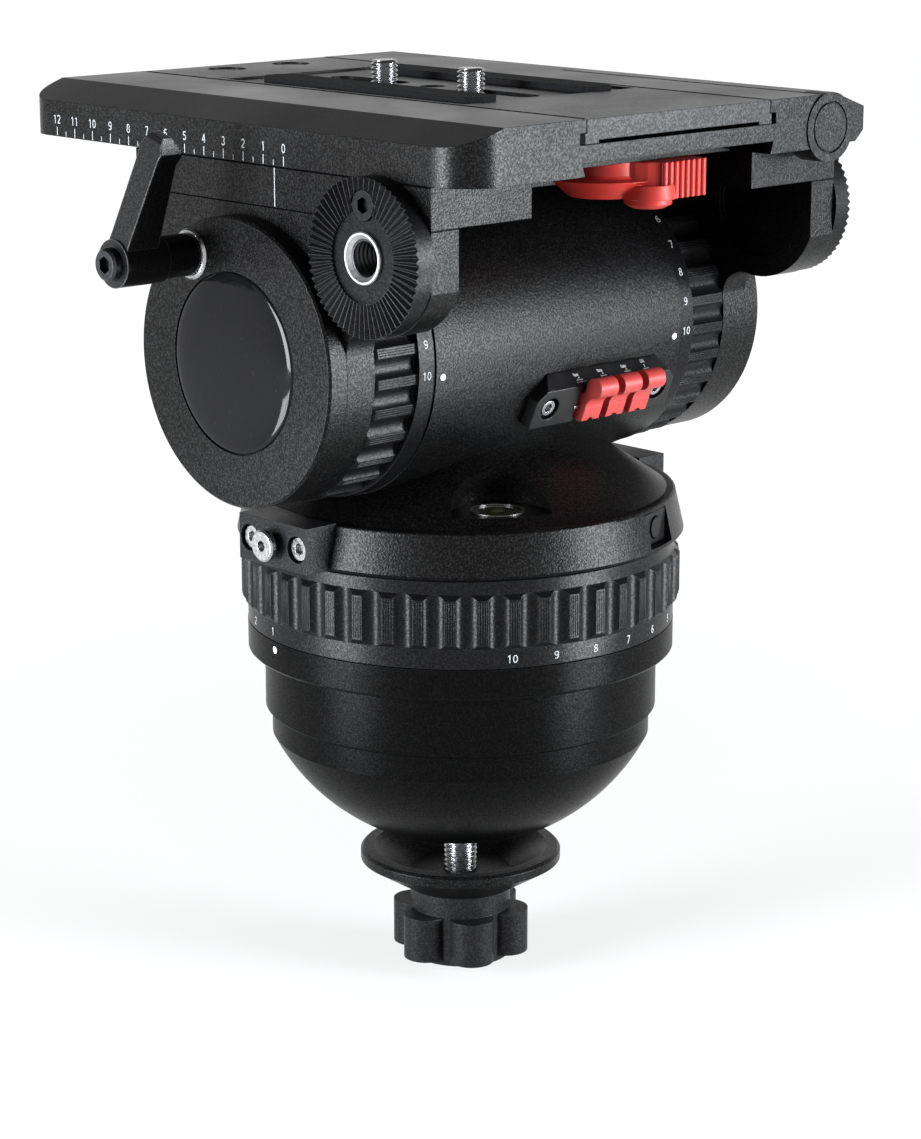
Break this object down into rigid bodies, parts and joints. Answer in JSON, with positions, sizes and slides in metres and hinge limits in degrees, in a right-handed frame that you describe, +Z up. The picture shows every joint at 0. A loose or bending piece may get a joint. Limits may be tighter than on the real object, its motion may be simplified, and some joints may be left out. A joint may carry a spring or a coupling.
{
  "type": "fluid video head",
  "caption": "Fluid video head with a levelling half ball, drag rings, tilt drum between cheeks, rosette mounts, and a sliding plate that clamps a quick-release camera plate.",
  "frame": {"origin": "on the pan axis, in the plane where the half ball meets its collar and where it enters the bowl", "axes": "+Z up along the pan axis, +Y forwards the way the camera looks, +X to the operator's right along the tilt axis"},
  "size_m": [0.2398, 0.2216, 0.3221],
  "materials": {
    "black_aluminium": "black anodised over a fine bead-blasted surface",
    "satin_aluminium": "dark grey anodised, satin machined",
    "black_plastic": "matt moulded",
    "gloss_black": "polished dome",
    "red_plastic": "smooth moulded red",
    "steel": "turned, bright",
    "dark_steel": "blackened",
    "rubber": "ribbed grip rubber",
    "spirit": "clear vial with green fluid"
  },
  "bodies": {
    "base": {"half_ball": "black_aluminium", "base_housing": "black_aluminium", "pan_shaft": "steel", "pan_shaft_nut": "dark_steel", "tie_down_stud": "steel"},
    "tie_down_cup": {"tie_down_cup": "black_aluminium"},
    "tie_down_knob": {"tie_down_knob": "black_plastic"},
    "pan_ring": {"pan_drag_ring": "black_plastic"},
    "turret": {"turret_housing": "black_aluminium", "pan_bearings": "steel", "pan_damper": "steel", "left_block": "black_aluminium", "right_block": "black_aluminium", "block_screws": "steel", "bubble_ring": "steel", "bubble_vial": "spirit", "light_panel": "black_plastic", "switch_bracket": "black_plastic", "bracket_screws": "steel", "switch_pin": "steel", "tilt_bearings": "steel", "spring_cartridges": "steel"},
    "pan_lock": {"pan_lock_pin": "steel"},
    "light_button": {"light_button": "black_plastic"},
    "switch_left": {"switch_left": "red_plastic"},
    "switch_middle": {"switch_middle": "red_plastic"},
    "switch_right": {"switch_right": "red_plastic"},
    "counterbalance_ring": {"counterbalance_ring": "black_plastic"},
    "tilt_drag_ring": {"tilt_drag_ring": "black_plastic"},
    "tilt": {"tilt_shaft": "steel", "tilt_damper": "steel", "left_cheek": "black_aluminium", "right_cheek": "black_aluminium", "left_cap": "black_aluminium", "right_cap": "black_aluminium", "left_badge": "gloss_black", "right_badge": "gloss_black", "left_rosette": "black_aluminium", "right_rosette": "black_aluminium", "rosette_inserts": "steel", "rosette_screws": "dark_steel", "tilt_lock_bushing": "steel", "tilt_platform": "satin_aluminium", "platform_screws": "dark_steel", "slide_lock_bolt": "dark_steel"},
    "tilt_lock": {"tilt_lock_lever": "black_plastic", "tilt_lock_screw": "dark_steel"},
    "slide_lock": {"slide_lock_lever": "red_plastic"},
    "slide_lock_button": {"slide_lock_button": "red_plastic"},
    "slide": {"sliding_plate": "satin_aluminium"},
    "clamp": {"clamp_lever": "satin_aluminium"},
    "jaw": {"clamp_jaw": "satin_aluminium"},
    "plate": {"camera_plate": "satin_aluminium", "grip_pads": "rubber"},
    "front_washer": {"front_washer": "steel"},
    "rear_washer": {"rear_washer": "steel"},
    "front_screw": {"front_camera_screw": "steel"},
    "rear_screw": {"rear_camera_screw": "steel"}
  },
  "joints": [
    {"name": "pan", "type": "hinge", "parent": "base", "child": "turret", "pos_m": [0, 0, 0.1], "axis": [0, 0, 1], "continuous": true},
    {"name": "pan_drag", "type": "hinge", "parent": "base", "child": "pan_ring", "pos_m": [0, 0, 0.057], "axis": [0, 0, 1], "range_deg": [0, 108]},
    {"name": "tie_down_travel", "type": "slide", "parent": "base", "child": "tie_down_cup", "axis": [0, 0, 1], "range_m": [-0.007, 0]},
    {"name": "tie_down_turn", "type": "hinge", "parent": "tie_down_cup", "child": "tie_down_knob", "pos_m": [0, 0, -0.075], "axis": [0, 0, 1], "range_deg": [-1440, 0]},
    {"name": "pan_lock_pull", "type": "slide", "parent": "turret", "child": "pan_lock", "axis": [-1, 0, 0], "range_m": [0, 0.004], "stiffness_N_per_m": 300},
    {"name": "light_press", "type": "slide", "parent": "turret", "child": "light_button", "axis": [-0.3156, 0.9489, 0], "range_m": [0, 0.0008], "stiffness_N_per_m": 300},
    {"name": "switch_left_flip", "type": "hinge", "parent": "turret", "child": "switch_left", "pos_m": [0.0119, -0.04898, 0.12209], "axis": [1, 0, 0], "range_deg": [0, 30]},
    {"name": "switch_middle_flip", "type": "hinge", "parent": "turret", "child": "switch_middle", "pos_m": [0.0235, -0.04898, 0.12209], "axis": [1, 0, 0], "range_deg": [0, 30]},
    {"name": "switch_right_flip", "type": "hinge", "parent": "turret", "child": "switch_right", "pos_m": [0.0351, -0.04898, 0.12209], "axis": [1, 0, 0], "range_deg": [0, 30]},
    {"name": "counterbalance", "type": "hinge", "parent": "turret", "child": "counterbalance_ring", "pos_m": [-0.07, 0, 0.1439], "axis": [1, 0, 0], "range_deg": [0, 108]},
    {"name": "tilt_drag", "type": "hinge", "parent": "turret", "child": "tilt_drag_ring", "pos_m": [0.07, 0, 0.1439], "axis": [1, 0, 0], "range_deg": [0, 108]},
    {"name": "tilt", "type": "hinge", "parent": "turret", "child": "tilt", "pos_m": [0, 0, 0.1439], "axis": [1, 0, 0], "range_deg": [-75, 65]},
    {"name": "tilt_lock_turn", "type": "hinge", "parent": "tilt", "child": "tilt_lock", "pos_m": [-0.11, 0.0206, 0.1775], "axis": [1, 0, 0], "range_deg": [-60, 30]},
    {"name": "slide_lock_turn", "type": "hinge", "parent": "tilt", "child": "slide_lock", "pos_m": [0, -0.068, 0.202], "axis": [0, 0, 1], "range_deg": [-70, 0]},
    {"name": "slide_lock_press", "type": "slide", "parent": "slide_lock", "child": "slide_lock_button", "axis": [0, 0, 1], "range_m": [0, 0.002], "stiffness_N_per_m": 300},
    {"name": "balance_slide", "type": "slide", "parent": "tilt", "child": "slide", "axis": [0, 1, 0], "range_m": [-0.1154, 0.0046]},
    {"name": "clamp_lift", "type": "hinge", "parent": "slide", "child": "clamp", "pos_m": [0.0735, -0.04, 0.2151], "axis": [0, -1, 0], "range_deg": [0, 55]},
    {"name": "jaw_slide", "type": "slide", "parent": "slide", "child": "jaw", "axis": [1, 0, 0], "range_m": [0, 0.0025]},
    {"name": "plate_slide", "type": "slide", "parent": "slide", "child": "plate", "axis": [0, -1, 0], "range_m": [0, 0.12]},
    {"name": "front_screw_slide", "type": "slide", "parent": "plate", "child": "front_washer", "axis": [0, 1, 0], "range_m": [-0.0055, 0.021]},
    {"name": "rear_screw_slide", "type": "slide", "parent": "plate", "child": "rear_washer", "axis": [0, 1, 0], "range_m": [-0.0258, 0.0002]},
    {"name": "front_screw_turn", "type": "hinge", "parent": "front_washer", "child": "front_screw", "pos_m": [0, 0.0385, 0.225], "axis": [0, 0, 1], "continuous": true},
    {"name": "rear_screw_turn", "type": "hinge", "parent": "rear_washer", "child": "rear_screw", "pos_m": [0, -0.0052, 0.225], "axis": [0, 0, 1], "continuous": true}
  ],
  "couplings": [
    {"joint": "jaw_slide", "follows": "clamp_lift", "m_per_rad": 0.002604},
    {"joint": "tie_down_turn", "follows": "tie_down_travel", "rad_per_m": 3590.4}
  ]
}
